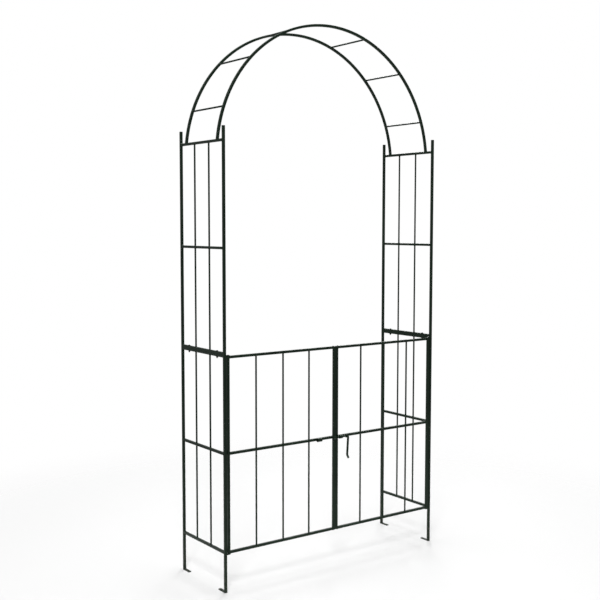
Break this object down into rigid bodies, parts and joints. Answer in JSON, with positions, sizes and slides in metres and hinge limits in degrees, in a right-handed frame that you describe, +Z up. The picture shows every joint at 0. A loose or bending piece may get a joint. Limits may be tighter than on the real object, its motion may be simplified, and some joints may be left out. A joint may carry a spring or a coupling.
{
  "type": "garden trellis arch",
  "caption": "Free-standing garden arch of square steel tube with trellis side panels, a round-headed double arch and a double-leaf latched gate.",
  "frame": {"origin": "on the ground, at the centre of the rectangle of the four stake holes", "axes": "+Z up; X across the arch; -Y is the gate side (front), +Y the back"},
  "size_m": [1.072, 0.3491, 2.204],
  "materials": {
    "powder_coat": "semi-gloss powder coat, very dark green-black",
    "black_fasteners": "black oxide",
    "zinc_steel": "zinc plated",
    "black_plastic": "matt moulded",
    "nylon": "smooth moulded"
  },
  "bodies": {
    "frame": {"left_lower_front_post": "powder_coat", "left_lower_back_post": "powder_coat", "left_lower_bottom_rail": "powder_coat", "left_lower_mid_rail": "powder_coat", "left_lower_top_rail": "powder_coat", "left_lower_bars": "powder_coat", "left_upper_front_post": "powder_coat", "left_upper_back_post": "powder_coat", "left_upper_bottom_rail": "powder_coat", "left_upper_mid_rail": "powder_coat", "left_upper_top_rail": "powder_coat", "left_upper_bars": "powder_coat", "right_lower_front_post": "powder_coat", "right_lower_back_post": "powder_coat", "right_lower_bottom_rail": "powder_coat", "right_lower_mid_rail": "powder_coat", "right_lower_top_rail": "powder_coat", "right_lower_bars": "powder_coat", "right_upper_front_post": "powder_coat", "right_upper_back_post": "powder_coat", "right_upper_bottom_rail": "powder_coat", "right_upper_mid_rail": "powder_coat", "right_upper_top_rail": "powder_coat", "right_upper_bars": "powder_coat", "foot_plates": "powder_coat", "post_spigots": "zinc_steel", "post_caps": "black_plastic", "panel_bolts": "black_fasteners", "panel_nuts": "black_fasteners", "front_arch_left": "powder_coat", "front_arch_right": "powder_coat", "back_arch_left": "powder_coat", "back_arch_right": "powder_coat", "arch_spigots": "zinc_steel", "arch_sleeves": "zinc_steel", "arch_screws": "black_fasteners", "arch_rungs": "powder_coat", "hinge_tabs": "powder_coat", "hinge_washers": "nylon"},
    "left_gate": {"left_gate_outer_stile": "powder_coat", "left_gate_meeting_stile": "powder_coat", "left_gate_bottom_rail": "powder_coat", "left_gate_mid_rail": "powder_coat", "left_gate_top_rail": "powder_coat", "left_gate_bars": "powder_coat", "left_gate_hinge_pins": "zinc_steel", "left_gate_end_plugs": "black_plastic", "latch_keepers": "powder_coat"},
    "right_gate": {"right_gate_outer_stile": "powder_coat", "right_gate_meeting_stile": "powder_coat", "right_gate_bottom_rail": "powder_coat", "right_gate_mid_rail": "powder_coat", "right_gate_top_rail": "powder_coat", "right_gate_bars": "powder_coat", "right_gate_hinge_pins": "zinc_steel", "right_gate_end_plugs": "black_plastic", "latch_guide": "powder_coat"},
    "latch_collar": {"latch_collar": "powder_coat"},
    "latch_bolt": {"latch_bolt": "powder_coat"}
  },
  "joints": [
    {"name": "left_gate_hinge", "type": "hinge", "parent": "frame", "child": "left_gate", "pos_m": [-0.515, -0.159, 0.5], "axis": [0, 0, 1], "range_deg": [-100, 90]},
    {"name": "right_gate_hinge", "type": "hinge", "parent": "frame", "child": "right_gate", "pos_m": [0.515, -0.159, 0.5], "axis": [0, 0, 1], "range_deg": [-90, 100]},
    {"name": "latch_slide", "type": "slide", "parent": "right_gate", "child": "latch_collar", "axis": [-1, 0, 0], "range_m": [0, 0.0198]},
    {"name": "latch_turn", "type": "hinge", "parent": "latch_collar", "child": "latch_bolt", "pos_m": [0.046, -0.1725, 0.538], "axis": [-1, 0, 0], "range_deg": [0, 180]}
  ]
}
